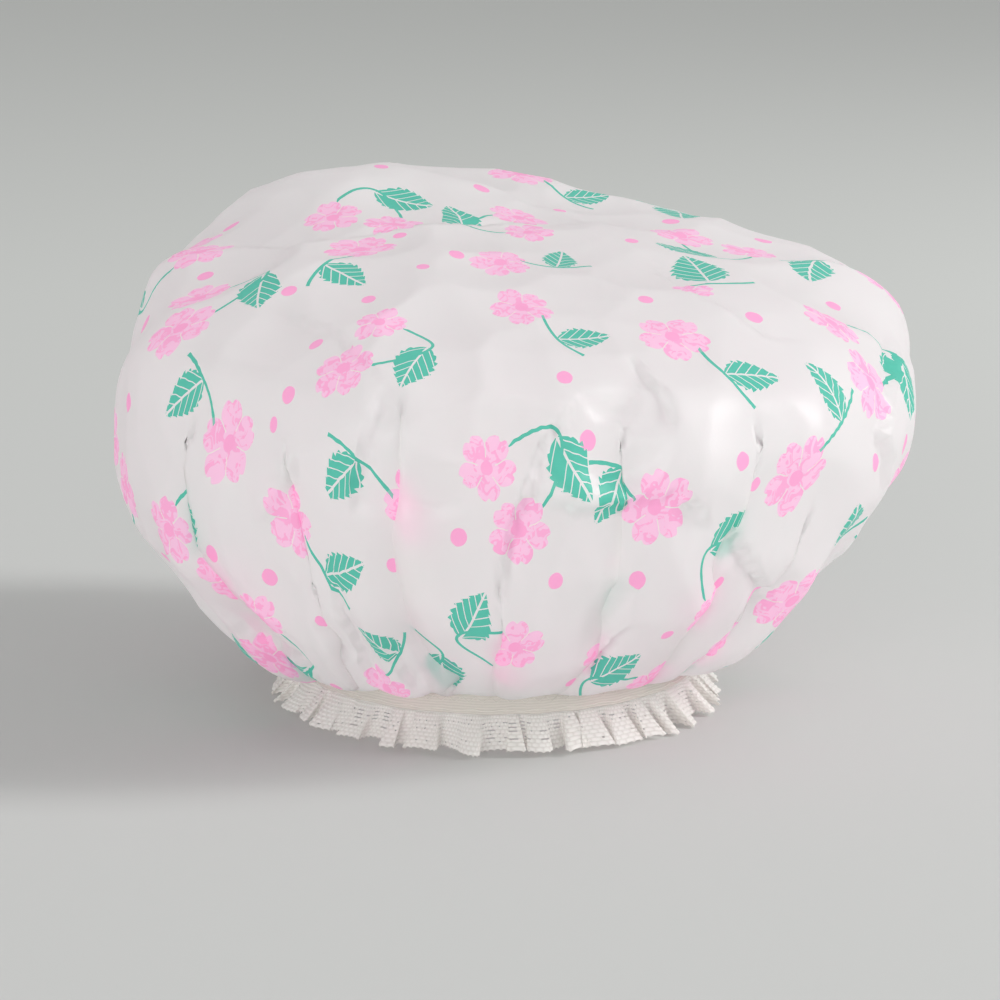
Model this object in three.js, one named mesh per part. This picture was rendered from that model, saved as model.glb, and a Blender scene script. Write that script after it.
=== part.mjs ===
// Shower cap: one round blank of frosted film, gathered on a relaxed woven elastic band, with a lace
// frill hanging below the band. It stands on the frill's edge, puffed up as if it were lightly stuffed.
// Millimetres, +Z up, front towards -Y. The origin is the middle of the whole cap's box, on the floor.
import * as THREE from "three";

// Driving dimensions of the elastic band, which sets the mouth.
const ELASTIC_RADIUS = 59; // inside radius of the band, relaxed
const ELASTIC_WIDTH = 6;
const ELASTIC_THICKNESS = 0.9;
const ELASTIC_LAP = 14; // length over which the band's two ends lie on each other
const ELASTIC_LAP_RAMP = 9; // length over which the upper end climbs on to the lower one
const ELASTIC_EDGE_ROUND = 0.25; // rounding of the band's selvedges

// Driving dimensions of the lace frill.
const FRILL_DROP = 10.5; // from the band's lower edge down to the floor
const FRILL_FLARE = 6.4; // how far the frill's edge stands out past its header
const FRILL_RUFFLE = 2.3; // half the in-and-out travel of a ruffle at the edge
const FRILL_THICKNESS = 0.5;
const FRILL_RUFFLES = 31;
const HEADER_INSET = 0.6; // from the band's upper edge down to the header's edge

// Driving dimensions of the film crown.
const FILM_THICKNESS = 0.15;
const CROWN_HEIGHT = 155; // floor to the peak of the crown
const BELLY_RADIUS = 120; // mean radius of the widest ring
const PEAK_BACK = 42; // how far the peak lies behind the mouth's axis
const PEAK_LEFT = 18; // and to its left
const SHOULDER_LEAN_BACK = 13; // how much higher the film is one belly radius behind the axis
const SHOULDER_LEAN_LEFT = 4; // and one belly radius to its left
const SIDE_SAG = 5.5; // how far the puffed film droops past the band at the two sides
const GATHER_DEPTH = 3.2; // half the in-and-out travel of a main gather, where it is deepest
const GATHERS = 32;
const HEM_GATHER_DEPTH = 0.4; // the same, pressed flat behind the band
const HEM_INSET = 0.8; // from the band's lower edge up to the fold of the hem
const HEM_TURN_UP = 3.4; // height of the film's edge folded back inside the hem
const FILM_RISE_OVER_BAND = 0.5; // height of the film above the band's upper edge as it turns out

// Driving dimensions of the sewing thread.
const THREAD_RADIUS = 0.2;
const ZIGZAG_STITCHES = 96; // zigzags of the row that holds film and band together
const ZIGZAG_WIDTH = 1.6;
const ZIGZAG_INSET = 1.7; // from the band's upper edge down to the middle of the row
const CHAIN_STITCHES = 80; // stitches of the row that holds the lace header
const CHAIN_SWAY = 0.25; // how far a stitch wanders up and down
const CHAIN_INSET = 1.2; // from the band's lower edge up to the row
const TACK_PASSES = 9; // to-and-fro passes of the tack across the lap
const TACK_WIDTH = 6; // along the band

// Running clearance between two layers that are sewn on each other.
const LAYER_GAP = 0.3;

const FULL_TURN = 2 * Math.PI;
const BACK = Math.PI / 2;

// Heights and radii that follow from the driving dimensions, from the floor up and from inside out.
const elasticBottom = FRILL_DROP;
const elasticTop = FRILL_DROP + ELASTIC_WIDTH;
const elasticOuter = ELASTIC_RADIUS + ELASTIC_THICKNESS;
const headerOuter = ELASTIC_RADIUS - LAYER_GAP;
const headerInner = headerOuter - FRILL_THICKNESS;
const hemRadius = headerInner - LAYER_GAP - HEM_GATHER_DEPTH;
const hemBottom = elasticBottom + HEM_INSET;
const filmTurn = elasticTop + FILM_RISE_OVER_BAND;
const lapStep = ELASTIC_THICKNESS + LAYER_GAP;
const filmOverBand = elasticOuter + LAYER_GAP + 2 * THREAD_RADIUS + LAYER_GAP;

// A point at an angle round the mouth's axis.
function around(angle, radius, z) {
  return new THREE.Vector3(radius * Math.cos(angle), radius * Math.sin(angle), z);
}

// Joins a run of section loops into one closed solid. Each loop runs anticlockwise in radius and
// height; a closed run meets its own start, and an open one is capped at both ends.
function sweep(loops, closed) {
  const side = loops[0].length;
  const position = loops.flat().flatMap((p) => [p.x, p.y, p.z]);
  const index = [];
  const spans = closed ? loops.length : loops.length - 1;
  for (let i = 0; i < spans; i++) {
    const here = i * side;
    const next = ((i + 1) % loops.length) * side;
    for (let j = 0; j < side; j++) {
      const k = (j + 1) % side;
      index.push(here + j, next + j, next + k, here + j, next + k, here + k);
    }
  }
  if (!closed) {
    const end = (loops.length - 1) * side;
    for (let j = 1; j < side - 1; j++) {
      index.push(0, j, j + 1, end, end + j + 1, end + j);
    }
  }
  const geometry = new THREE.BufferGeometry();
  geometry.setAttribute("position", new THREE.Float32BufferAttribute(position, 3));
  geometry.setIndex(index);
  geometry.computeVertexNormals();
  return geometry;
}

// Round thread along points that all lie round the mouth's axis.
function thread(points, closed) {
  const sides = 4;
  const loops = points.map((p, i) => {
    const before = points[closed ? (i + points.length - 1) % points.length : Math.max(i - 1, 0)];
    const after = points[closed ? (i + 1) % points.length : Math.min(i + 1, points.length - 1)];
    const along = after.clone().sub(before).normalize();
    const outward = new THREE.Vector3(p.x, p.y, 0).normalize();
    const up = outward.clone().cross(along).normalize();
    return Array.from({ length: sides }, (_, j) => {
      const turn = (FULL_TURN * j) / sides;
      return p
        .clone()
        .addScaledVector(outward, THREAD_RADIUS * Math.cos(turn))
        .addScaledVector(up, THREAD_RADIUS * Math.sin(turn));
    });
  });
  return sweep(loops, closed);
}

// The lap is at the back. Its rise is 0 on the single band and 1 where the upper end lies on the
// lower one, with a ramp before the lap and, for what is sewn over it, another after it.
const lapStart = BACK - ELASTIC_LAP / 2 / ELASTIC_RADIUS;
const lapAngle = ELASTIC_LAP / ELASTIC_RADIUS;
const rampAngle = ELASTIC_LAP_RAMP / ELASTIC_RADIUS;
function lapRise(angle) {
  const past = angle - lapStart;
  const climb = THREE.MathUtils.clamp((past + rampAngle) / (rampAngle / 2), 0, 1);
  const drop = THREE.MathUtils.clamp((lapAngle + rampAngle - past) / (rampAngle / 2), 0, 1);
  return Math.min(climb, drop);
}

// Woven elastic band: one flat strip whose upper end laps over its lower end.
function elasticBand() {
  const steps = 90;
  const span = FULL_TURN + lapAngle;
  const rounding = ELASTIC_EDGE_ROUND;
  const loops = Array.from({ length: steps + 1 }, (_, i) => {
    const angle = lapStart + (span * i) / steps;
    const climb = i > steps / 2 ? lapRise(angle - FULL_TURN) * lapStep : 0;
    const inner = ELASTIC_RADIUS + climb;
    const outer = elasticOuter + climb;
    return [
      around(angle, inner + rounding, elasticBottom),
      around(angle, outer - rounding, elasticBottom),
      around(angle, outer, elasticBottom + rounding),
      around(angle, outer, elasticTop - rounding),
      around(angle, outer - rounding, elasticTop),
      around(angle, inner + rounding, elasticTop),
      around(angle, inner, elasticTop - rounding),
      around(angle, inner, elasticBottom + rounding),
    ];
  });
  return sweep(loops, false);
}

// Lace frill: a flat header behind the band, then ruffles that open towards the floor. Each station
// is a share of the drop, of the flare and of the ruffle.
const FRILL_STATION_SHARES = [
  [0.02, 0, 0],
  [0.5, 0.42, 0.6],
  [1, 1, 1],
];
function laceFrill() {
  const stepsPerRuffle = 5;
  const steps = FRILL_RUFFLES * stepsPerRuffle;
  const stations = [
    { z: elasticTop - HEADER_INSET, out: 0, sway: 0 },
    ...FRILL_STATION_SHARES.map(([drop, flare, sway]) => ({
      z: FRILL_DROP * (1 - drop),
      out: FRILL_FLARE * flare,
      sway: FRILL_RUFFLE * sway,
    })),
  ];
  const loops = Array.from({ length: steps }, (_, i) => {
    const angle = (FULL_TURN * i) / steps;
    const wave = Math.sin((FULL_TURN * i) / stepsPerRuffle) * unevenness(angle);
    const outside = stations.map((s) => headerOuter + s.out + s.sway * wave);
    const face = stations.map((s, k) => around(angle, outside[k], s.z));
    const backFace = stations.map((s, k) => around(angle, outside[k] - FRILL_THICKNESS, s.z));
    return [...face.reverse(), ...backFace];
  });
  return sweep(loops, true);
}

// Handmade gathers are never alike: a slow change of depth round the cap, from 0.6 to 1.
function unevenness(angle) {
  const slow = 0.13 * Math.sin(3 * angle + 1) + 0.07 * Math.sin(7 * angle + 2);
  return 0.8 + slow;
}

// Widest outline of the puffed film, seen from above, at equal angles from the right (+X) through
// the back: shares of the belly's radius. Straight stretches between them are the film's flat facets.
const OUTLINE_SHARES = [
  1.06, 1.055, 1.02, 0.99, 0.97, 0.96, 0.94, 0.91, 0.905, 0.91, 0.91, 0.93, 0.935, 0.96, 1.005, 1.045,
];
const outlineCurve = new THREE.CatmullRomCurve3(
  OUTLINE_SHARES.map((share, i) => around((FULL_TURN * i) / OUTLINE_SHARES.length, share, 0)),
  true,
  "catmullrom",
  0.3,
);

// Rings of the film's underside, from the band out to the belly: share of the way out, share of the
// rise from the film's turn to the peak, and shares of the belly's outline, lean, gather and side sag.
const UNDERSIDE_SHARES = [
  [0.01, 0.003, 0, 0, 0.3, 0.1],
  [0.11, -0.005, 0.15, 0, 0.6, 1],
  [0.37, 0.075, 0.5, 0, 1, 0.6],
  [0.6, 0.175, 0.8, 0, 0.9, 0.25],
  [0.8, 0.29, 1, 0.1, 0.6, 0],
  [0.93, 0.405, 1, 0.25, 0.35, 0],
  [1, 0.52, 1, 0.4, 0.2, 0],
];

// Rings of the crown, from the belly up to the peak: share of the belly's radius, share of the same
// rise, and shares of the belly's outline, lean, gather and the peak's offset from the mouth's axis.
const CROWN_SHARES = [
  [0.99, 0.64, 1, 0.7, 0.12, 0.02],
  [0.93, 0.735, 1, 0.9, 0.05, 0.08],
  [0.8, 0.8, 1, 0.9, 0, 0.22],
  [0.61, 0.86, 0.8, 0.9, 0, 0.48],
  [0.38, 0.91, 0.5, 1.2, 0, 0.75],
  [0.17, 0.955, 0, 1.6, 0, 0.93],
];

// Dents where the film's slack has buckled inwards, and with a depth below zero the corners where it
// stands out: azimuth in degrees, height as a share of the crown's height, half width in degrees,
// half height as a share of the crown's height, and depth as a share of the belly's radius.
const DENT_SHARES = [
  [286, 0.6, 13, 0.11, 0.055],
  [262, 0.52, 15, 0.14, 0.05],
  [310, 0.42, 11, 0.13, 0.04],
  [226, 0.54, 12, 0.14, 0.045],
  [340, 0.58, 13, 0.14, 0.035],
  [2, 0.66, 12, 0.1, 0.04],
  [26, 0.42, 15, 0.17, 0.06],
  [60, 0.62, 15, 0.13, 0.065],
  [110, 0.5, 17, 0.2, 0.085],
  [142, 0.42, 12, 0.17, 0.04],
  [176, 0.84, 20, 0.1, 0.04],
  [352, 0.36, 20, 0.16, 0.05],
  [8, 0.79, 16, 0.07, -0.06],
  [158, 0.87, 22, 0.07, -0.065],
  [188, 0.4, 22, 0.14, -0.04],
  [350, 0.95, 55, 0.04, 0.03],
];
function dentAt(angle, z) {
  return DENT_SHARES.reduce((sum, [azimuth, height, halfWidth, halfHeight, depth]) => {
    const across = degreesApart(angle, azimuth) / halfWidth;
    const up = (z / CROWN_HEIGHT - height) / halfHeight;
    return sum + BELLY_RADIUS * depth * Math.exp(-(across * across + up * up));
  }, 0);
}

// Main folds, which take up the film's width between the belly and the band: azimuth in degrees,
// half width in degrees, height at which the fold runs out as a share of the crown's height, and
// depth as a share of the belly's radius.
const FOLD_SHARES = [
  [19, 9, 0.52, 0.05],
  [40, 7, 0.46, 0.04],
  [60, 7, 0.5, 0.03],
  [84, 7, 0.42, 0.03],
  [100, 7, 0.54, 0.04],
  [118, 9, 0.56, 0.05],
  [141, 7, 0.5, 0.045],
  [160, 7, 0.42, 0.035],
  [178, 7, 0.5, 0.03],
  [203, 7, 0.46, 0.035],
  [220, 6, 0.4, 0.03],
  [238, 7, 0.5, 0.03],
  [257, 7, 0.48, 0.035],
  [271, 6, 0.4, 0.03],
  [287, 7, 0.56, 0.04],
  [306, 7, 0.5, 0.035],
  [320, 6, 0.4, 0.03],
  [335, 7, 0.5, 0.03],
  [354, 7, 0.42, 0.035],
];
function foldAt(angle, z) {
  return FOLD_SHARES.reduce((sum, [azimuth, halfWidth, top, depth]) => {
    const across = Math.min(Math.abs(degreesApart(angle, azimuth)) / halfWidth, 1);
    const up = THREE.MathUtils.clamp((z - filmTurn) / (top * CROWN_HEIGHT - filmTurn), 0, 1);
    return sum + BELLY_RADIUS * depth * (1 - across) * Math.sin(Math.PI * up);
  }, 0);
}

// How far an angle lies from an azimuth, in degrees, to either side.
function degreesApart(angle, azimuth) {
  return THREE.MathUtils.euclideanModulo(THREE.MathUtils.radToDeg(angle) - azimuth + 180, 360) - 180;
}

// A gather leans to one side, so three steps make one: out, half back and in.
const GATHER_WAVE_SHARES = [1, -0.2, -0.8];
function gatherAt(step, angle) {
  return GATHER_WAVE_SHARES[step % GATHER_WAVE_SHARES.length] * unevenness(angle);
}

// Film crown: one sheet from the folded hem behind the band, out over the band, up round the belly
// and over the crown, as rings of points on the film's outside.
function crownFilm() {
  const steps = GATHERS * GATHER_WAVE_SHARES.length;
  const angles = Array.from({ length: steps }, (_, i) => (FULL_TURN * i) / steps);
  const foldInset = 2 * FILM_THICKNESS + LAYER_GAP;
  const hemRings = [
    [hemRadius - foldInset, hemBottom + HEM_TURN_UP],
    [hemRadius - foldInset, hemBottom + foldInset / 2],
    [hemRadius - foldInset / 2, hemBottom],
    [hemRadius, hemBottom + foldInset / 2],
    [hemRadius, filmTurn],
  ].map(([radius, z]) =>
    angles.map((angle, i) => around(angle, radius + HEM_GATHER_DEPTH * gatherAt(i, angle), z)),
  );
  const rise = CROWN_HEIGHT - filmTurn;
  const undersideRings = UNDERSIDE_SHARES.map(([out, up, follow, lean, gather, sag]) =>
    angles.map((angle, i) => {
      const belly = around(angle, 1, 0).lerp(outlineCurve.getPoint(i / steps), follow);
      const place = belly.setLength(filmOverBand + (BELLY_RADIUS * belly.length() - filmOverBand) * out);
      place.z = filmTurn + rise * up + leanAt(place) * lean - SIDE_SAG * sag * Math.cos(angle) ** 2;
      return pushOut(place, GATHER_DEPTH * gather * gatherAt(i, angle) - slackAt(angle, place.z));
    }),
  );
  const crownRings = CROWN_SHARES.map(([reach, up, follow, lean, gather, shift]) =>
    angles.map((angle, i) => {
      const belly = around(angle, 1, 0).lerp(outlineCurve.getPoint(i / steps), follow);
      const place = belly.multiplyScalar(BELLY_RADIUS * reach);
      place.z = filmTurn + rise * up + leanAt(place) * lean;
      pushOut(place, GATHER_DEPTH * gather * gatherAt(i, angle) - slackAt(angle, place.z));
      return place.add(new THREE.Vector3(-PEAK_LEFT * shift, PEAK_BACK * shift, 0));
    }),
  );
  const peak = new THREE.Vector3(-PEAK_LEFT, PEAK_BACK, CROWN_HEIGHT);
  return sheet([...hemRings, ...undersideRings, ...crownRings], peak, FILM_THICKNESS);
}

// How much the lean lifts a place on the film.
function leanAt(place) {
  return (SHOULDER_LEAN_BACK * place.y - SHOULDER_LEAN_LEFT * place.x) / BELLY_RADIUS;
}

// How far the dents and main folds draw the film in at a place.
function slackAt(angle, z) {
  return dentAt(angle, z) + foldAt(angle, z);
}

// Moves a place on the film away from the middle of the space inside the cap.
function pushOut(place, distance) {
  const outward = place.clone().sub(new THREE.Vector3(0, 0, CROWN_HEIGHT / 2)).normalize();
  return place.addScaledVector(outward, distance);
}

// Closed sheet of one thickness: an outside skin through the rings to the apex, an inside skin moved
// in along the normals, and the free edge between their first rings.
function sheet(rings, apex, thickness) {
  const steps = rings[0].length;
  const points = [...rings.flat(), apex];
  const last = points.length - 1;
  const skin = [];
  for (let r = 0; r < rings.length; r++) {
    for (let i = 0; i < steps; i++) {
      const here = r * steps + i;
      const beside = r * steps + ((i + 1) % steps);
      if (r === rings.length - 1) skin.push(here, beside, last);
      else skin.push(here, beside, beside + steps, here, beside + steps, here + steps);
    }
  }
  const outside = new THREE.BufferGeometry().setFromPoints(points);
  outside.setIndex(skin);
  outside.computeVertexNormals();
  const normal = outside.getAttribute("normal");
  const inner = points.map((p, n) =>
    p.clone().addScaledVector(new THREE.Vector3().fromBufferAttribute(normal, n), -thickness),
  );
  const back = points.length;
  const inside = [];
  for (let t = 0; t < skin.length; t += 3) {
    inside.push(skin[t] + back, skin[t + 2] + back, skin[t + 1] + back);
  }
  const edge = [];
  for (let i = 0; i < steps; i++) {
    const next = (i + 1) % steps;
    edge.push(next, i, i + back, next, i + back, next + back);
  }
  const geometry = new THREE.BufferGeometry().setFromPoints([...points, ...inner]);
  geometry.setIndex([...skin, ...inside, ...edge]);
  geometry.computeVertexNormals();
  return geometry;
}

// Radius at which a thread lies on the band's outside, on the single band and over the lap.
function sewnRadius(angle) {
  return elasticOuter + lapStep * lapRise(angle) + LAYER_GAP + THREAD_RADIUS;
}

// Zigzag row through the band and the gathered film behind it.
function zigzagRow() {
  const middle = elasticTop - ZIGZAG_INSET;
  const points = Array.from({ length: 2 * ZIGZAG_STITCHES }, (_, i) => {
    const angle = (FULL_TURN * i) / (2 * ZIGZAG_STITCHES);
    const swing = i % 2 ? ZIGZAG_WIDTH / 2 : -ZIGZAG_WIDTH / 2;
    return around(angle, sewnRadius(angle), middle + swing);
  });
  return thread(points, true);
}

// Chain row through the band and the lace header.
function chainRow() {
  const points = Array.from({ length: 2 * CHAIN_STITCHES }, (_, i) => {
    const angle = (FULL_TURN * i) / (2 * CHAIN_STITCHES);
    const swing = i % 2 ? CHAIN_SWAY : -CHAIN_SWAY;
    return around(angle, sewnRadius(angle), elasticBottom + CHAIN_INSET + swing);
  });
  return thread(points, true);
}

// Tack that locks the lap: a tight to-and-fro thread between the two rows.
function lapTack() {
  const low = elasticBottom + CHAIN_INSET + CHAIN_SWAY + 2 * THREAD_RADIUS + LAYER_GAP;
  const high = elasticTop - ZIGZAG_INSET - ZIGZAG_WIDTH / 2 - 2 * THREAD_RADIUS - LAYER_GAP;
  const turn = TACK_WIDTH / ELASTIC_RADIUS;
  const points = Array.from({ length: 2 * TACK_PASSES + 1 }, (_, i) => {
    const angle = BACK + turn * (i / (2 * TACK_PASSES) - 1 / 2);
    return around(angle, sewnRadius(angle), i % 2 ? high : low);
  });
  return thread(points, false);
}

function finish(color, roughness) {
  return new THREE.MeshStandardMaterial({ color, roughness, metalness: 0 });
}
const filmFinish = finish(0xf0e8e8, 0.4);
const elasticFinish = finish(0xe6ded0, 0.85);
const laceFinish = finish(0xf4f1ec, 0.9);
const threadFinish = finish(0xf7f5f0, 0.7);

function piece(name, geometry, material) {
  const mesh = new THREE.Mesh(geometry, material);
  mesh.name = name;
  return mesh;
}

const sewn = new THREE.Group();
sewn.add(
  piece("crown_film", crownFilm(), filmFinish),
  piece("elastic_band", elasticBand(), elasticFinish),
  piece("lace_frill", laceFrill(), laceFinish),
  piece("film_zigzag_stitches", zigzagRow(), threadFinish),
  piece("lace_chain_stitches", chainRow(), threadFinish),
  piece("lap_bar_tack", lapTack(), threadFinish),
);

// The puffed film overhangs the mouth unevenly, so the sewn cap is moved to centre its box.
const middle = new THREE.Box3().setFromObject(sewn).getCenter(new THREE.Vector3());
sewn.position.set(-middle.x, -middle.y, 0);

const showerCap = new THREE.Group();
showerCap.add(sewn);

export default showerCap;
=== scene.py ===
import math

import bpy
import numpy as np
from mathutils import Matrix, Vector
from mathutils.bvhtree import BVHTree


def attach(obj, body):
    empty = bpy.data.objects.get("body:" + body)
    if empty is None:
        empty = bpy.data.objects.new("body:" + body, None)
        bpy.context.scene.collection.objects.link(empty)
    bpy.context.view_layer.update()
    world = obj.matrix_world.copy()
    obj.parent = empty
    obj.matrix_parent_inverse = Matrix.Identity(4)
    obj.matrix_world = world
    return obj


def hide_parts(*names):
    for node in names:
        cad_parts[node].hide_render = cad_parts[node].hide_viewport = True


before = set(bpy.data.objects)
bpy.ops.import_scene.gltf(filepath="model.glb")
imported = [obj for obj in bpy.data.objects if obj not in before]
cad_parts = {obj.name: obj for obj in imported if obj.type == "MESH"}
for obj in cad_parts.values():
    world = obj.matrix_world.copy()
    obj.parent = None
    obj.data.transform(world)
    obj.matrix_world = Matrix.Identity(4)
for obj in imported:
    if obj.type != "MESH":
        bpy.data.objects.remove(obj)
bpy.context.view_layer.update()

# The view. The cap stands on its lace in front of a long lens that looks down on it a
# little. It is set first, because the creases of the film are read along its lines of sight.
MM = 0.001
FULL_TURN = 2 * math.pi
VIEW_TILT = math.radians(12.6)
VIEW_PLACE = Vector((-6.44, -805.1, 237.4))  # mm
VIEW_LENS = 100
VIEW_FRAME = 36
PICTURE_SIZE = 1000

view_ahead = Vector((0, math.cos(VIEW_TILT), -math.sin(VIEW_TILT)))
view_up = Vector((0, math.sin(VIEW_TILT), math.cos(VIEW_TILT)))
view_lens = bpy.data.cameras.new("view_lens")
view_lens.lens = VIEW_LENS
view_lens.sensor_width = VIEW_FRAME
view_lens.clip_start = 0.05
view_lens.clip_end = 60
view = bpy.data.objects.new("view", view_lens)
view.location = VIEW_PLACE * MM
view.rotation_euler = view_ahead.to_track_quat("-Z", "Y").to_euler()
bpy.context.scene.collection.objects.link(view)
bpy.context.scene.camera = view


def line_of_sight(across, down):
    """Direction from the lens through a pixel of the picture."""
    pixels_ahead = PICTURE_SIZE * VIEW_LENS / VIEW_FRAME
    side = Vector((1, 0, 0)) * (across - PICTURE_SIZE / 2)
    return view_ahead * pixels_ahead + side - view_up * (down - PICTURE_SIZE / 2)


# The crown. One round blank of thin frosted film, printed before it is cut. Its edge is
# gathered, turned down behind the band, folded up inside as a hem and sewn by the zigzag row.
# What is too wide for the band lies in folds and in thin flat laps.
BLANK_RADIUS = 254
HEM_DEPTH = 11  # from the turn over the band to the blank's edge
MOUTH = np.array([-7.341, -4.221])  # middle of the band, seen from above
CROWN_MIDDLE = np.array([-4.0, 13.0])  # what the blank's middle lies over
INSIDE = np.array([-4.4, -0.2, 78.0])  # a point inside the cap that sees the whole film
TURN_RADIUS = 61.2  # where the film turns over the band
TURN_HEIGHT = 17.6
COARSE_ROWS = 64
FINE_ROWS = 120
COARSE_STEPS = 170
FINE_STEPS = 110

cad_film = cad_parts["crown_film"]
cad_points = np.array([v.co for v in cad_film.data.vertices]) / MM
cad_skin = BVHTree.FromPolygons(
    cad_points.tolist(), [list(face.vertices) for face in cad_film.data.polygons]
)
chance = np.random.default_rng(7)


def ring_blank(rows):
    """The blank as rings of points, eight more on each ring than on the last."""
    radius, angle, first, triangles = [0.0], [0.0], [0], []
    for row in range(1, rows + 1):
        first.append(len(radius))
        radius += [BLANK_RADIUS * row / rows] * (8 * row)
        angle += [FULL_TURN * k / (8 * row) for k in range(8 * row)]
    for row in range(1, rows + 1):
        outer, inner = 8 * row, max(8 * (row - 1), 1)
        for sector in range(8):
            for k in range(row):
                near = first[row] + (sector * row + k) % outer
                far = first[row] + (sector * row + k + 1) % outer
                within = first[row - 1] + (sector * (row - 1) + k) % inner
                triangles.append((near, far, within))
                if k < row - 1:
                    beside = first[row - 1] + (sector * (row - 1) + k + 1) % inner
                    triangles.append((within, far, beside))
    return np.array(radius), np.array(angle), np.array(triangles)


def on_finer_blank(place, rows, radius, angle):
    """Where points of a finer blank lie on a coarser one that has settled."""
    row = radius / BLANK_RADIUS * rows
    low = np.minimum(np.floor(row).astype(int), rows - 1)

    def on_ring(ring):
        first = np.where(ring > 0, 1 + 4 * ring * (ring - 1), 0)
        count = np.maximum(8 * ring, 1)
        spot = angle / FULL_TURN * count
        k = np.floor(spot).astype(int)
        part = (spot - k)[:, None]
        return place[first + k % count] * (1 - part) + place[first + (k + 1) % count] * part

    part = (row - low)[:, None]
    return on_ring(low) * (1 - part) + on_ring(low + 1) * part


def smooth_round(values, times):
    for _ in range(times):
        values = 0.5 * values + 0.25 * (np.roll(values, 1, 0) + np.roll(values, -1, 0))
    return values


# Paths down the CAD film from the blank's middle to the turn over the band.
PATHS = 240
PATH_POINTS = 128
PATH_RAYS = 90
PATH_FALL = 137  # degrees from straight up to the last ray
PATH_HEIGHT = 75  # of the rays' start


def path_down(angle):
    found = []
    for k in range(PATH_RAYS):
        share = k / (PATH_RAYS - 1)
        lean = math.radians(90 - PATH_FALL * share)
        base = CROWN_MIDDLE * (1 - share) + MOUTH * share
        start = Vector((base[0], base[1], PATH_HEIGHT))
        level = math.cos(lean)
        toward = Vector((math.cos(angle) * level, math.sin(angle) * level, math.sin(lean)))
        hit = cad_skin.ray_cast(start, toward)[0]
        if hit is None:
            continue
        out = math.hypot(hit.x - MOUTH[0], hit.y - MOUTH[1])
        if out < TURN_RADIUS + 0.6 and hit.z < 40:
            break
        found.append(tuple(hit))
    found.append((
        MOUTH[0] + TURN_RADIUS * math.cos(angle),
        MOUTH[1] + TURN_RADIUS * math.sin(angle),
        TURN_HEIGHT,
    ))
    found = np.array(found)
    run = np.concatenate([[0], np.cumsum(np.linalg.norm(np.diff(found, axis=0), axis=1))])
    even = np.linspace(0, run[-1], PATH_POINTS)
    return np.stack([np.interp(even, run, found[:, axis]) for axis in range(3)], axis=1)


paths = smooth_round(np.array([path_down(FULL_TURN * k / PATHS) for k in range(PATHS)]), 6)


def on_paths(angle, share):
    """Place on the CAD film for a direction and a share of the way down to the band."""
    a = (angle / FULL_TURN * PATHS) % PATHS
    k = np.clip(share, 0, 1) * (PATH_POINTS - 1)
    a0, k0 = np.floor(a).astype(int) % PATHS, np.minimum(k.astype(int), PATH_POINTS - 2)
    a1, pa, pk = (a0 + 1) % PATHS, (a - np.floor(a))[:, None], (k - k0)[:, None]
    here = paths[a0, k0] * (1 - pk) + paths[a0, k0 + 1] * pk
    there = paths[a1, k0] * (1 - pk) + paths[a1, k0 + 1] * pk
    return here * (1 - pa) + there * pa


# How far out the film may lie in every direction from the point inside: the CAD film's
# reach, cut by flats and pushed out at blunt corners.
REACH_ACROSS, REACH_UP = 720, 360
REACH_EASING = 3
across_angle = FULL_TURN * np.arange(REACH_ACROSS) / REACH_ACROSS
up_angle = math.pi * ((np.arange(REACH_UP) + 0.5) / REACH_UP - 0.5)
outward = np.stack([
    np.cos(across_angle)[:, None] * np.cos(up_angle)[None, :],
    np.sin(across_angle)[:, None] * np.cos(up_angle)[None, :],
    np.broadcast_to(np.sin(up_angle), (REACH_ACROSS, REACH_UP)),
], axis=2)


def cast_reach():
    reach = np.zeros((REACH_ACROSS, REACH_UP))
    inside = Vector(INSIDE)
    evens = np.arange(0, REACH_UP, 2)
    for a in range(0, REACH_ACROSS, 2):
        hits = [cad_skin.ray_cast(inside, Vector(outward[a, k]))[3] or 0 for k in evens]
        hits = np.array(hits)
        hits[hits == 0] = hits[hits > 0][0]
        reach[a] = np.interp(np.arange(REACH_UP), evens, hits)
    reach[1::2] = 0.5 * (reach[::2] + np.roll(reach, -2, 0)[::2])
    reach = smooth_round(reach, REACH_EASING)
    for _ in range(REACH_EASING):
        reach[:, 1:-1] = 0.5 * reach[:, 1:-1] + 0.25 * (reach[:, :-2] + reach[:, 2:])
    return reach


reach = first_reach = cast_reach()
cad_heights = INSIDE[2] + outward[..., 2] * reach
skin = INSIDE + outward * reach[..., None]
skin_normal = np.cross(np.roll(skin, -1, 0) - np.roll(skin, 1, 0), np.gradient(skin, axis=1))
skin_normal /= np.maximum(np.linalg.norm(skin_normal, axis=2), 1e-9)[..., None]
skin_normal *= np.sign(np.sum(skin_normal * outward, axis=2))[..., None]


def cell_of(point):
    offset = np.array(point) - INSIDE
    around = math.atan2(offset[1], offset[0]) % FULL_TURN
    above = math.asin(offset[2] / np.linalg.norm(offset))
    row = int(np.clip((above / math.pi + 0.5) * REACH_UP, 0, REACH_UP - 1))
    return int(around / FULL_TURN * REACH_ACROSS) % REACH_ACROSS, row


def seen_cell(across, down):
    """The cell of the film that shows at a pixel of the picture."""
    return cell_of(cad_skin.ray_cast(VIEW_PLACE, line_of_sight(across, down))[0])


FLAT_SPREAD = 30  # mm of film round a flat that give it its slope
LEAST_FACING = 0.15


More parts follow.
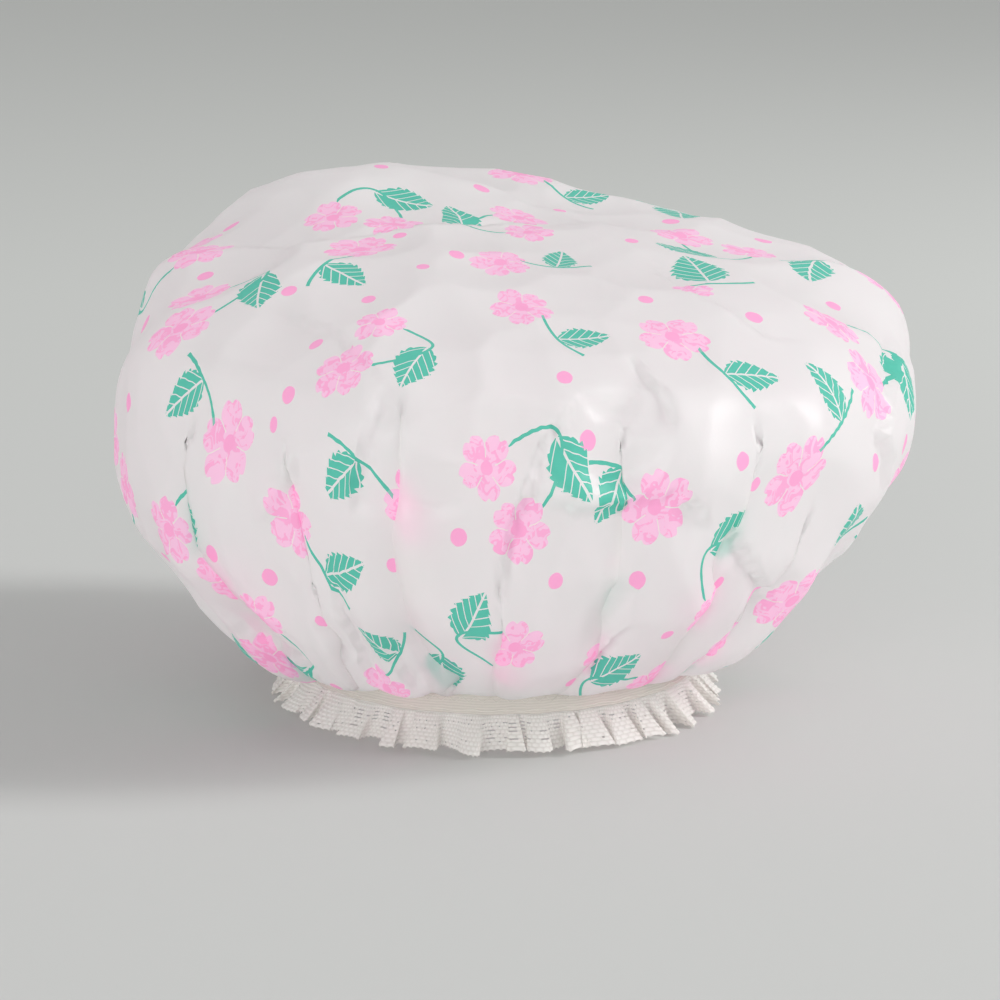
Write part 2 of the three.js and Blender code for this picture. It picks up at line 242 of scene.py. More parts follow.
def flat_at(cell, inset, turn=0.0, tip=0.0):
    """How far out a flat lies that cuts the film by inset at a cell."""
    away = np.linalg.norm(skin - skin[cell], axis=2)
    weight = np.exp(-((away / FLAT_SPREAD) ** 2)) * first_reach**2 * np.cos(up_angle)
    normal = np.sum(skin_normal * weight[..., None], axis=(0, 1))
    normal /= np.linalg.norm(normal)
    aside = np.cross((0, 0, 1), normal)
    normal += turn * aside + tip * np.cross(normal, aside)
    normal /= np.linalg.norm(normal)
    facing = outward @ normal
    distance = normal @ (skin[cell] - INSIDE) - inset
    flat = distance / np.maximum(facing, LEAST_FACING)
    return np.where(facing > LEAST_FACING, flat, 1e9)


POCKET_REACH = 90


def pocket(across, down, half_width, height, lip, depth, turn=0.0):
    """A dent that deepens downward and ends in a short steep lip."""
    cell = seen_cell(across, down)
    aside = np.cross((0, 0, 1), skin_normal[cell])
    aside /= np.linalg.norm(aside)
    upward = np.cross(skin_normal[cell], aside)
    offset = skin - skin[cell]
    east, north = offset @ aside, offset @ upward
    east, north = (
        east * math.cos(turn) + north * math.sin(turn),
        north * math.cos(turn) - east * math.sin(turn),
    )
    edge = height * (0.5 * (east / half_width) ** 2 - 0.5)
    falling = np.clip((height / 2 - north) / (height / 2 - edge), 0, 1)
    lifting = np.clip((north - edge + lip) / lip, 0, 1)
    sides = np.clip(1 - (east / half_width) ** 2, 0, 1)
    near = np.linalg.norm(offset, axis=2) < POCKET_REACH
    return np.where(near, depth * np.minimum(falling, lifting) * sides, 0)


def corner(across, down, out, spread):
    """A blunt corner that stands out from the film."""
    away = np.linalg.norm(skin - skin[seen_cell(across, down)], axis=2)
    return out * np.clip(1 - away / spread, 0, 1)


FOLD_STEPS = 2.1


def fold_line(step, fade, side, *pixels):
    """A step in the film along a line, deep at the line and fading out to one side of it."""
    corners = [skin[seen_cell(*pixel)] for pixel in pixels]
    normal = skin_normal[seen_cell(*pixels[0])]
    lengths = [np.linalg.norm(b - a) for a, b in zip(corners, corners[1:])]
    nearest = np.full(reach.shape, 1e9)
    which_side, along, run = np.zeros(reach.shape), np.zeros(reach.shape), 0
    for a, b, length in zip(corners, corners[1:], lengths):
        part = np.clip(((skin - a) @ (b - a)) / length**2, 0, 1)
        away = np.linalg.norm(skin - a - part[..., None] * (b - a), axis=2)
        closer = away < nearest
        nearest[closer] = away[closer]
        which_side[closer] = np.sign((skin - a) @ np.cross(normal, b - a))[closer]
        along[closer] = ((run + part * length) / sum(lengths))[closer]
        run += length
    ends = np.clip(along / 0.25, 0, 1) * np.clip((1 - along) / 0.15, 0, 1)
    return np.where(which_side * side > 0, FOLD_STEPS * step * np.exp(-nearest / fade) * ends, 0)


# Flats of the front: across, down, inset. The back has like ones at even distances.
FRONT_FLATS = (
    (560, 300, 1.0), (400, 300, 1.0), (720, 330, 1.5), (270, 300, 2.0), (740, 430, 3.0),
    (650, 560, 4.0), (240, 430, 2.5), (430, 560, 3.0), (850, 430, 2.5), (820, 300, 1.5),
    (150, 300, 3.0), (310, 520, 2.5), (545, 590, 2.5), (770, 540, 3.0), (190, 500, 1.0),
    (540, 230, 1.6), (500, 430, 2.0), (222, 235, 0.5), (350, 185, 0.5), (850, 275, 0.5),
    (900, 360, 1.0), (630, 225, 1.5), (155, 430, 0.4), (530, 196, 1.8), (740, 250, 1.4),
)
BACK_FLATS = 18
for across, down, inset in FRONT_FLATS:
    reach = np.minimum(reach, flat_at(seen_cell(across, down), inset))
flats_chance = np.random.default_rng(11)
for k in range(BACK_FLATS):
    around = math.radians(-25 + 230 * (k + 0.5) / BACK_FLATS + flats_chance.uniform(-8, 8))
    above = math.radians(flats_chance.uniform(-22, 40))
    level = math.cos(above)
    toward = np.array([math.cos(around) * level, math.sin(around) * level, math.sin(above)])
    inset, turn, tip = flats_chance.uniform((1.0, -0.08, -0.08), (3.0, 0.08, 0.08))
    reach = np.minimum(reach, flat_at(cell_of(INSIDE + toward), inset, turn, tip))
# Blunt corners: across, down, how far out, spread.
CORNERS = (
    (192, 264, 6.0, 34), (285, 196, 4.0, 44), (474, 176, 5.0, 34),
    (312, 184, 3.0, 36), (534, 190, -6.5, 34), (440, 165, 2.0, 22),
    (886, 296, 5.0, 30), (146, 400, 0.8, 30), (862, 275, 1.5, 26),
    (172, 510, 5.5, 40), (215, 590, 2.0, 44), (252, 640, 2.0, 34),
    (900, 400, 5.5, 40), (589, 385, 2.2, 22), (392, 378, 2.0, 22),
    (530, 499, 1.4, 20),
)
reach = reach + sum(corner(*values) for values in CORNERS)
skin = INSIDE + outward * reach[..., None]

# Pockets and fold lines, which are pressed into the film once it has settled. A pocket:
# across, down, half width, height, lip, depth, turn. A fold line: step, fade, side, pixels.
POCKETS = (
    (615, 445, 17, 20, 5, 4.6, 0.1),
    (428, 488, 14, 12, 4, 2.2, -0.1),
    (614, 398, 9, 8, 3, 3.0, 0.35),
    (300, 540, 12, 20, 6, 1.6, 0.2),
)
FOLD_LINES = (
    (1.7, 7, 1, (589, 385), (546, 445), (530, 500), (514, 541), (504, 600)),
    (1.9, 18, -1, (520, 500), (574, 511), (627, 510), (695, 495), (725, 533)),
    (1.3, 7, 1, (389, 380), (373, 423), (362, 465), (345, 520)),
    (1.5, 8, -1, (632, 355), (653, 381), (674, 405), (677, 430)),
    (1.3, 6, 1, (311, 620), (325, 640), (345, 668)),
    (1.4, 6, 1, (329, 568), (355, 645), (373, 686)),
    (1.4, 6, 1, (380, 640), (398, 668), (417, 690)),
    (1.5, 7, 1, (217, 594), (253, 635), (294, 658), (325, 680)),
    (1.3, 6, -1, (590, 680), (616, 651), (640, 630)),
    (1.6, 8, -1, (737, 530), (753, 559), (769, 599), (771, 620)),
    (2.2, 10, -1, (893, 320), (896, 360), (886, 434), (872, 500)),
    (0.9, 14, 1, (180, 262), (300, 245), (420, 228), (540, 215)),
    (1.0, 9, 1, (296, 448), (283, 490), (265, 530)),
    (0.9, 9, -1, (250, 300), (330, 330), (389, 380)),
    (0.8, 9, 1, (640, 250), (700, 300), (770, 340), (830, 350)),
)
relief = sum(
    [pocket(*values) for values in POCKETS]
    + [fold_line(*values) for values in FOLD_LINES]
)

# Gathers that run up from the band and fade out on the belly.
LOW_GATHERS = 52
LOW_GATHER_DEPTH = 2.6
LOW_GATHER_TOP = 54
LOW_GATHER_FADE = 40
fading = np.clip((LOW_GATHER_TOP - cad_heights) / LOW_GATHER_FADE, 0, 1)
fading = fading * fading * (3 - 2 * fading)
uneven = 2.2 * np.sin(3 * across_angle + 1) + 1.6 * np.sin(7 * across_angle + 2)
ridge = np.abs(np.sin((LOW_GATHERS * across_angle + uneven + np.sin(11 * across_angle)) / 2))
reach = smooth_round(reach - LOW_GATHER_DEPTH * fading * (1 - ridge[:, None]), 1)


def read_map(chart, points):
    """Offset of each point from the point inside, its length, and the chart's value there."""
    offset = points - INSIDE
    length = np.linalg.norm(offset, axis=1)
    a = np.arctan2(offset[:, 1], offset[:, 0]) / FULL_TURN * REACH_ACROSS % REACH_ACROSS
    k = (np.arcsin(offset[:, 2] / length) / math.pi + 0.5) * REACH_UP - 0.5
    k = np.clip(k, 0, REACH_UP - 1.001)
    a0, k0 = a.astype(int) % REACH_ACROSS, k.astype(int)
    a1, pa, pk = (a0 + 1) % REACH_ACROSS, a - np.floor(a), k - k0
    here = chart[a0, k0] * (1 - pk) + chart[a0, k0 + 1] * pk
    there = chart[a1, k0] * (1 - pk) + chart[a1, k0 + 1] * pk
    return offset, length, here * (1 - pa) + there * pa


# The tucks that take up the film's width start here: the first ones high on the belly,
# then one more in every gap, and again, nearer to the band.
FIRST_TUCKS = (
    19, 40, 60, 84, 100, 118, 141, 160, 178, 203, 220, 238, 257, 271, 287, 306, 320, 335, 354,
)  # degrees
TUCK_STARTS = (0.56, 0.68, 0.82)  # shares of the way down to the band
TUCK_WANDERS = (0.3, 0.25)


def tucks_between(angles, wander):
    angles = np.sort(angles)
    gaps = (np.roll(angles, -1) - angles) % 360
    return (angles + gaps / 2 + chance.uniform(-wander, wander, len(angles)) * gaps / 2) % 360


tuck_angles = np.array(FIRST_TUCKS, float)
tuck_starts = np.full(len(FIRST_TUCKS), TUCK_STARTS[0])
for start, wander in zip(TUCK_STARTS[1:], TUCK_WANDERS):
    more = tucks_between(tuck_angles, wander)
    tuck_angles = np.concatenate([tuck_angles, more])
    tuck_starts = np.concatenate([tuck_starts, np.full(len(more), start)])
tuck_starts = tuck_starts + chance.uniform(-0.03, 0.03, len(tuck_starts))
tuck_angles = np.radians(tuck_angles)

# The hem: rows of pleats sewn behind the band, and how far in and up each depth of it lies.
HEM_PLEATS = 80
HEM_PLEAT_DEPTH = 2.2
TURN_PLEAT_DEPTH = 3.0
HEM_DEPTHS = (0, 3.5, 8.5, 9.0, 11.0)
HEM_RADII = (61.2, 57.6, 57.6, 57.0, 56.9)
HEM_HEIGHTS = (17.6, 17.0, 12.4, 12.3, 14.3)


def hem_place(radius, angle, row_gap):
    """Where the hem's points are sewn, and which points those are."""
    depth = radius - (BLANK_RADIUS - HEM_DEPTH)
    sewn = depth > -row_gap
    depth, angle = depth[sewn], angle[sewn]
    pleat = 0.5 - 0.5 * np.cos(HEM_PLEATS * angle + 1.5 * np.sin(5 * angle))
    out = np.interp(depth, HEM_DEPTHS, HEM_RADII) - HEM_PLEAT_DEPTH * pleat
    up = np.interp(depth, HEM_DEPTHS, HEM_HEIGHTS)
    turning = depth < 0
    out[turning] = (TURN_RADIUS + 1.2 - TURN_PLEAT_DEPTH * pleat)[turning]
    up[turning] = TURN_HEIGHT + 0.6
    places = np.stack([MOUTH[0] + out * np.cos(angle), MOUTH[1] + out * np.sin(angle), up], 1)
    return sewn, places


def first_folds(radius, angle):
    """The blank laid on the CAD film, with its extra width pushed inward in tucks."""
    share = radius / (BLANK_RADIUS - HEM_DEPTH)
    place = on_paths(angle, share)
    turn = on_paths(angle + 0.01, share) - on_paths(angle - 0.01, share)
    fall = on_paths(angle, np.minimum(share + 0.01, 1)) - on_paths(
        angle, np.maximum(share - 0.01, 0)
    )
    normal = np.cross(turn, fall)
    normal /= np.maximum(np.linalg.norm(normal, axis=1), 1e-9)[:, None]
    normal *= np.sign(np.sum(normal * (place - INSIDE), axis=1))[:, None]
    normal[0] = (0, 0, 1)
    girth = np.linalg.norm(turn, axis=1) / 0.02
    spare = np.maximum(FULL_TURN * (radius - girth), 0)
    opening = np.clip((share[:, None] - tuck_starts) / 0.14, 0, 1)
    opening = opening * opening * (3 - 2 * opening)
    count = np.maximum(opening.sum(axis=1), 4)
    apart = (angle[:, None] - tuck_angles + math.pi) % FULL_TURN - math.pi
    width = np.maximum(1.5, 0.22 * FULL_TURN * girth / count)
    dip = np.exp(-np.abs(apart * girth[:, None] / width[:, None]) ** 1.6) * opening
    dip = np.minimum((dip * (spare / (2 * count))[:, None]).sum(axis=1), 24)
    ripple = sum(
        chance.normal()
        * np.cos(waves * angle + chance.uniform(0, 6.28) + 9 * share * chance.normal())
        for waves in (5, 8, 13, 21)
    )
    return place + normal * (0.35 * ripple * np.clip(share * 2 - 0.4, 0, 1) - dip)[:, None]


def in_groups(pairs, count):
    """Pairs sorted into groups in which no point comes twice."""
    used, group = [0] * count, np.zeros(len(pairs), int)
    for n, (a, b) in enumerate(pairs.tolist()):
        taken = used[a] | used[b]
        free = (~taken & (taken + 1)).bit_length() - 1
        used[a] |= 1 << free
        used[b] |= 1 << free
        group[n] = free
    return [np.where(group == g)[0] for g in range(group.max() + 1)]


# How the film behaves as it settles.
STRETCH_SHARES = (0, 0.4, 0.5, 0.6, 0.85, 1.0)
CRUMPLING = (0.03, 0.05, 0.3, 0.6, 0.45, 0.2)  # how far the film resists being pushed together
STIFFNESS = 0.13
PUFF = 0.12  # mm a step, outward
LAP_SHARES = (0.2, 0.5, 0.68, 0.82, 0.96)  # of the way down to the band
LAPPED = (0, 0.115, 0.135, 0.21, 0.32)  # share of the film's width that lies in thin laps
STRETCHED = 0.03  # of the film's length, where it is pulled out to the left and right
DEEPEST_FOLD = 26
STEP_KEEPS = 0.9
CROWN_HOLD = ((0, 0.38, 0.5, 0.75), (0.03, 0.03, 0.005, 0.0))


def settle(place, rows, radius, angle, triangles, steps):
    """The film finds its rest: it keeps its length, bends stiffly, is puffed out by the air
    inside and is stopped by the reach. Its thin laps are taken off its width."""
    share = radius / (BLANK_RADIUS - HEM_DEPTH)
    flat = np.stack([radius * np.cos(angle), radius * np.sin(angle)], axis=1)
    gap = BLANK_RADIUS / rows
    sewn, sewn_places = hem_place(radius, angle, gap)
    place[sewn] = sewn_places
    free = np.where(sewn, 0.0, 1.0)
    sides = np.concatenate([triangles[:, [0, 1]], triangles[:, [1, 2]], triangles[:, [2, 0]]])
    across = np.concatenate([triangles[:, 2], triangles[:, 0], triangles[:, 1]])
    sides.sort(axis=1)
    order = np.argsort(sides[:, 0].astype(np.int64) * len(radius) + sides[:, 1], kind="stable")
    sides, across = sides[order], across[order]
    again = np.concatenate([[False], (sides[1:] == sides[:-1]).all(axis=1)])
    edges = sides[~again]
    hinges = np.stack([across[again], across[np.where(again)[0] - 1]], axis=1)

    def links(pairs, pull, push):
        made = []
        for group in in_groups(pairs, len(radius)):
            a, b = pairs[group].T
            moving = free[a] + free[b] > 0
            a, b, resist = a[moving], b[moving], push[group][moving]
            weight = free[a] + free[b]
            rest = np.linalg.norm(flat[a] - flat[b], axis=1)
            sideways = 1 - ((radius[a] - radius[b]) / rest) ** 2
            rest *= 1 - sideways * np.interp((share[a] + share[b]) / 2, LAP_SHARES, LAPPED)
            rest *= 1 + (1 - sideways) * STRETCHED * np.cos(angle[a]) ** 2
            made.append((a, b, rest, free[a] / weight, free[b] / weight, pull, resist))
        return made

    def pull_together(points, made):
        for a, b, rest, part_a, part_b, pull, resist in made:
            apart = points[b] - points[a]
            length = np.sqrt(np.einsum("ij,ij->i", apart, apart)) + 1e-9
            give = (length - rest) / length
            give = give * np.where(give < 0, resist, pull)
            points[a] += apart * (give * part_a)[:, None]
            points[b] -= apart * (give * part_b)[:, None]

    edge_links = links(edges, 1.0, np.interp(share[edges].mean(1), STRETCH_SHARES, CRUMPLING))
    bending = STIFFNESS * np.clip((1.05 - share[hinges].mean(1)) / 0.3, 0.15, 1)
    hinge_links = links(hinges, 0.0, bending)
    hold = (np.interp(share, *CROWN_HOLD) * free)[:, None]
    start, speed = place.copy(), np.zeros_like(place)
    for _ in range(steps):
        corners = place[triangles]
        push = np.cross(corners[:, 1] - corners[:, 0], corners[:, 2] - corners[:, 0]) / 6
        puff = np.stack([
            sum(np.bincount(triangles[:, k], push[:, axis], len(radius)) for k in range(3))
            for axis in range(3)
        ], axis=1)
        puff *= np.sign(puff[0, 2]) * PUFF / gap**2
        before = place.copy()
        place = place + (speed + puff) * free[:, None]
        pull_together(place, hinge_links)
        pull_together(place, edge_links)
        pull_together(place, edge_links)
        offset, length, limit = read_map(reach, place)
        too_far = np.maximum(length - limit - 0.6, 0) / 2
        too_deep = np.maximum(limit - DEEPEST_FOLD - length, 0) / 2
        place += offset * ((too_deep - too_far) / length * free)[:, None]
        place += (start - place) * hold
        speed = (place - before) * STEP_KEEPS
    return place


coarse_radius, coarse_angle, coarse_triangles = ring_blank(COARSE_ROWS)
film_place = settle(
    first_folds(coarse_radius, coarse_angle),
    COARSE_ROWS, coarse_radius, coarse_angle, coarse_triangles, COARSE_STEPS,
)
film_radius, film_angle, film_triangles = ring_blank(FINE_ROWS)
film_place = on_finer_blank(film_place, COARSE_ROWS, film_radius, film_angle)
film_place = settle(
    film_place, FINE_ROWS, film_radius, film_angle, film_triangles,
    FINE_STEPS,
)

# The sharpest crumples above the band are eased, as the film's own spring does.
EASED_FROM, EASED_TO = 0.72, 0.94  # shares of the blank's radius
EASING = 5
for row in range(int(EASED_FROM * FINE_ROWS), int(EASED_TO * FINE_ROWS)):
    ring = slice(1 + 4 * row * (row - 1), 1 + 4 * row * (row + 1))
    film_place[ring] = smooth_round(film_place[ring], EASING)

# The pockets and fold lines of the front are pressed into the settled film where it lies
# outermost, and not down in its tucks.
offset, length, limit = read_map(reach, film_place)
pressed = read_map(relief, film_place)[2]
pressed *= np.clip(1 - (limit - length - 1) / 6, 0, 1)
film_place -= offset * (pressed / length)[:, None]

# Creases pressed into the film when it was folded in its pack: shallow bowls that meet in
# sharp ridges, scattered over the blank.
CREASE_SPACING = 25
CREASE_CURVE = 0.0058
CREASE_STEP = 0.5
CREASE_HEIGHT = 1.4
CREASE_FADE = 30  # mm from the turn over the band
crease_chance = np.random.default_rng(3)
crease_count = int(math.pi * (BLANK_RADIUS / CREASE_SPACING) ** 2)
crease_far = BLANK_RADIUS * np.sqrt(crease_chance.uniform(0, 1, crease_count))
crease_turn = crease_chance.uniform(0, FULL_TURN, crease_count)
crease_start = crease_chance.uniform(0, CREASE_STEP, crease_count)
blank_x, blank_y = film_radius * np.cos(film_angle), film_radius * np.sin(film_angle)
crease_height = np.full(len(film_radius), 1e9)
for far, turn, start in zip(crease_far, crease_turn, crease_start):
    away = (blank_x - far * math.cos(turn)) ** 2 + (blank_y - far * math.sin(turn)) ** 2
    crease_height = np.minimum(crease_height, CREASE_CURVE * away + start)
crease_height = np.minimum(crease_height - crease_height.mean(), CREASE_HEIGHT)
crease_height *= np.clip((BLANK_RADIUS - HEM_DEPTH - film_radius) / CREASE_FADE, 0, 1)
film_corners = film_place[film_triangles]
face_normal = np.cross(
    film_corners[:, 1] - film_corners[:, 0], film_corners[:, 2] - film_corners[:, 0]
)
film_normal = np.stack([
    sum(np.bincount(film_triangles[:, k], face_normal[:, axis], len(film_radius)) for k in range(3))
    for axis in range(3)
], axis=1)
film_normal *= np.sign(film_normal[0, 2])
film_normal /= np.maximum(np.linalg.norm(film_normal, axis=1), 1e-9)[:, None]
film_place = film_place + film_normal * crease_height[:, None]


def mesh_piece(name, points, faces):
    """A new smooth-shaded piece from points in mm."""
    mesh = bpy.data.meshes.new(name)
    mesh.from_pydata((np.asarray(points) * MM).tolist(), [], [list(face) for face in faces])
    mesh.polygons.foreach_set("use_smooth", [True] * len(mesh.polygons))
    mesh.update()
    piece = bpy.data.objects.new(name, mesh)
    bpy.context.scene.collection.objects.link(piece)
    return piece


def lay_map(piece, name, places):
    """A flat map of a piece, from a flat place for each of its points."""
    corners = np.array([corner.vertex_index for corner in piece.data.loops])
    piece.data.uv_layers.new(name=name).data.foreach_set("uv", places[corners].ravel())


film_crown = mesh_piece("film_crown", film_place, film_triangles)
blank_places = 0.5 + np.stack([blank_x, blank_y], axis=1) / (2 * BLANK_RADIUS)
lay_map(film_crown, "blank_map", blank_places)


# The film's finish: milky and half clear, so that light comes through it from behind, with
# a soft gloss and a fine frosted grain. The print is drawn on the flat blank in mm.
def set_or_link(tree, socket, value):
    if isinstance(value, bpy.types.NodeSocket):
        tree.links.new(value, socket)
    else:
        socket.default_value = value


def set_inputs(tree, node, inputs):
    for key, value in dict(inputs).items():
        set_or_link(tree, node.inputs[key], value)


def add_node(tree, kind, inputs=(), **settings):
    node = tree.nodes.new(kind)
    for key, value in settings.items():
        setattr(node, key, value)
    set_inputs(tree, node, inputs)
    return node


def calc(tree, how, *values):
    return add_node(tree, "ShaderNodeMath", enumerate(values), operation=how).outputs[0]


def times(tree, first, second):
    return calc(tree, "MULTIPLY", first, second)


def plus(tree, first, second):
    return calc(tree, "ADD", first, second)


def minus(tree, first, second):
    return calc(tree, "SUBTRACT", first, second)


def times_plus(tree, first, second, third):
    return calc(tree, "MULTIPLY_ADD", first, second, third)


def is_less(tree, first, second):
    return calc(tree, "LESS_THAN", first, second)


def is_more(tree, first, second):
    return calc(tree, "GREATER_THAN", first, second)


def cut_out(tree, mask, hole):
    return minus(tree, mask, times(tree, mask, hole))


def any_of(tree, *masks):
    whole = masks[0]
    for mask in masks[1:]:
        whole = calc(tree, "MAXIMUM", whole, mask)
    return whole


def calc_vector(tree, how, *values):
    return add_node(tree, "ShaderNodeVectorMath", enumerate(values), operation=how).outputs[0]


def distance(tree, first, second):
    node = add_node(tree, "ShaderNodeVectorMath", {0: first, 1: second}, operation="DISTANCE")
    return node.outputs["Value"]


def noise(tree, place, scale, detail, more=(), **settings):
    inputs = {"Vector": place, "Scale": scale, "Detail": detail, **dict(more)}
    return add_node(tree, "ShaderNodeTexNoise", inputs, **settings).outputs[0]


def bump(tree, height, strength, depth):
    inputs = {"Strength": strength, "Distance": depth, "Height": height}
    return add_node(tree, "ShaderNodeBump", inputs).outputs[0]


def mix_colour(tree, part, first, second):
    node = add_node(tree, "ShaderNodeMix", data_type="RGBA")
    set_or_link(tree, node.inputs[0], part)
    set_or_link(tree, node.inputs[6], first)
    set_or_link(tree, node.inputs[7], second)
    return node.outputs[2]


def let_through(tree, shader, end, part, inputs):
    """Lets a part of the light come through a thin piece from behind."""
    glow = add_node(tree, "ShaderNodeBsdfTranslucent", inputs).outputs[0]
    mixed = add_node(tree, "ShaderNodeMixShader", {0: part, 1: shader.outputs[0], 2: glow})
    set_inputs(tree, end, {"Surface": mixed.outputs[0]})


def colour(red, green, blue):
    """A colour as it shows, from 0 to 255, as the shader wants it."""
    shares = [value / 255 for value in (red, green, blue)]
    return tuple(s / 12.92 if s <= 0.04045 else ((s + 0.055) / 1.055) ** 2.4 for s in shares) + (1,)


def new_material(name):
    material = bpy.data.materials.new(name)
    material.use_nodes = True
    tree = material.node_tree
    return material, tree, tree.nodes["Principled BSDF"], tree.nodes["Material Output"]


FILM_COLOUR = colour(252, 252, 251)
FILM_SHADED = colour(249, 248, 247)
PINK = colour(255, 218, 242)
DARK_PINK = colour(255, 186, 225)
# Painted glow: the neon pink inks give back more light than falls on them, and this is painted as a
# weak glow of their own that shines whatever the lamps do.
INK_PAINTED_GLOW = colour(255, 110, 180)  # the pinks are printed in bright neon inks
GREEN = colour(100, 214, 190)
MOTIF_SPACING = 50
MOTIF_SIZE = 1.18
MOTIF_EVENNESS = 0.35
DOT_SPACING = 27
DOT_RADIUS = 2.5
DOT_SHIFT = (7.0, 3.0, 0.0)
DOT_CLEARANCE = 0.46 * MOTIF_SPACING
FILM_GRAIN = (1.6, 4.0)
FILM_LETS_THROUGH = 0.56

film_material, tree, film_shader, film_out = new_material("frosted_film")
blank_uv = add_node(tree, "ShaderNodeUVMap", uv_map="blank_map").outputs[0]
blank_mm = calc_vector(tree, "MULTIPLY", blank_uv, (2 * BLANK_RADIUS,) * 3)


def scatter(tree, place, spacing, evenness):
    """The nearest of many scattered spots: its own place and three chance numbers."""
    scaled = add_node(
        tree, "ShaderNodeVectorMath", {0: place, "Scale": 1 / spacing}, operation="SCALE"
    )
    spots = add_node(
        tree, "ShaderNodeTexVoronoi",
        {"Vector": scaled.outputs[0], "Scale": 1.0, "Randomness": evenness},
        voronoi_dimensions="2D",
    )
    back = add_node(
        tree, "ShaderNodeVectorMath", {0: spots.outputs["Position"], "Scale": spacing},
        operation="SCALE",
    )
    chances = add_node(tree, "ShaderNodeSeparateColor", {0: spots.outputs["Color"]})
    return back.outputs[0], chances.outputs


def flower(tree, x, y, middle_x, middle_y, size):
    """Five petals with thin gaps. Returns where there is ink, and where its heart is."""
    dx, dy = minus(tree, x, middle_x), minus(tree, y, middle_y)
    far = calc(tree, "SQRT", plus(tree, times(tree, dx, dx), times(tree, dy, dy)))
    turn = times(tree, calc(tree, "ARCTAN2", dy, dx), 2.5)
    lobe = calc(tree, "ABSOLUTE", calc(tree, "COSINE", turn))
    edge = times_plus(tree, calc(tree, "POWER", lobe, 0.55), 0.42 * size, 0.58 * size)
    notch = times(tree, calc(tree, "POWER", lobe, 40.0), -0.12 * size)
    inside = is_less(tree, far, plus(tree, edge, notch))
    between = is_less(tree, times(tree, far, lobe), 0.34)
    outer = is_more(tree, far, 0.3 * size)
    gap = times(tree, between, outer)
    heart = is_less(tree, far, 0.2 * size)
    return cut_out(tree, inside, gap), heart


def stem(tree, x, y, start, end, middle, base, bend, width):
    """A green line along y = base + bend * (x - middle) squared, from start to end."""
    off = minus(tree, x, middle)
    bow = times_plus(tree, times(tree, off, off), bend, base)
    slope = times(tree, off, 2 * bend)
    steep = calc(tree, "SQRT", times_plus(tree, slope, slope, 1.0))
    away = calc(tree, "DIVIDE", calc(tree, "ABSOLUTE", minus(tree, y, bow)), steep)
    line = is_less(tree, away, width)
    within = times(tree, is_more(tree, x, start), is_less(tree, x, end))
    return times(tree, line, within)


def leaf(tree, x, y, foot_x, foot_y, angle, length, half_width):
    """A toothed leaf with a clear midrib and side veins."""
    ca, sa = math.cos(angle), math.sin(angle)
    dx, dy = minus(tree, x, foot_x), minus(tree, y, foot_y)
    along = plus(tree, times(tree, dx, ca), times(tree, dy, sa))
    aside = minus(tree, times(tree, dy, ca), times(tree, dx, sa))
    aside = calc(tree, "ABSOLUTE", times_plus(tree, times(tree, along, along), -0.006, aside))
    share = calc(tree, "DIVIDE", along, length)
    rounded = calc(tree, "POWER", calc(tree, "MAXIMUM", share, 0.0), 0.75)
    swell = calc(tree, "SINE", times(tree, rounded, math.pi))
    teeth = calc(tree, "FRACT", times(tree, share, 8.0))
    half = times(tree, swell, times_plus(tree, teeth, -0.2 * half_width, half_width))
    inside = times(tree, is_less(tree, aside, half), is_less(tree, share, 1.0))
    vein_run = calc(tree, "FRACT", calc(tree, "DIVIDE", minus(tree, along, aside), 2.7))
    side_vein = is_less(tree, vein_run, 0.13)
    vein = calc(tree, "MAXIMUM", side_vein, is_less(tree, aside, 0.3))
    return cut_out(tree, inside, vein)


motif_place, motif_chances = scatter(tree, blank_mm, MOTIF_SPACING, MOTIF_EVENNESS)
motif_turn = times(tree, motif_chances[0], FULL_TURN)
motif_offset = calc_vector(tree, "SUBTRACT", blank_mm, motif_place)
motif_turned = add_node(
    tree, "ShaderNodeVectorRotate", {"Vector": motif_offset, "Angle": motif_turn},
    rotation_type="Z_AXIS",
)
motif_drawn = calc_vector(tree, "DIVIDE", motif_turned.outputs[0], (MOTIF_SIZE,) * 3)
motif_xy = add_node(tree, "ShaderNodeSeparateXYZ", {0: motif_drawn})
x, y = motif_xy.outputs[0], motif_xy.outputs[1]
kind = motif_chances[1]
twin = is_less(tree, kind, 0.42)
bud = is_more(tree, kind, 0.74)
single = minus(tree, 1.0, plus(tree, twin, bud))

twin_left, twin_left_heart = flower(tree, x, y, -8.0, 6.5, 8.6)
twin_right, twin_right_heart = flower(tree, x, y, 9.0, 3.0, 7.6)
twin_stems = any_of(
    tree,
    stem(tree, x, y, -8.0, 1.5, 1.5, -15.0, 0.16, 0.42),
    stem(tree, x, y, 1.5, 9.0, 1.5, -15.0, 0.19, 0.42),
)
twin_leaf = leaf(tree, x, y, 1.0, -14.0, 2.9, 16.0, 6.2)
twin_pink = any_of(tree, twin_left, twin_right)
twin_heart = any_of(tree, twin_left_heart, twin_right_heart)
twin_green = any_of(tree, cut_out(tree, twin_stems, twin_pink), twin_leaf)

single_pink, single_heart = flower(tree, x, y, 3.0, 8.0, 9.4)
single_stem = stem(tree, y, x, -18.0, 1.0, -18.0, -4.0, 0.02, 0.45)
single_leaf = leaf(tree, x, y, -2.0, -8.0, -0.7, 15.0, 5.2)
single_green = any_of(tree, single_stem, single_leaf)

bud_pink, bud_heart = flower(tree, x, y, -9.0, -7.0, 5.6)
bud_green = any_of(
    tree,
    leaf(tree, x, y, -1.0, -3.0, 1.15, 19.0, 7.0),
    stem(tree, x, y, -6.0, 10.0, 6.0, -6.0, 0.02, 0.42),
)

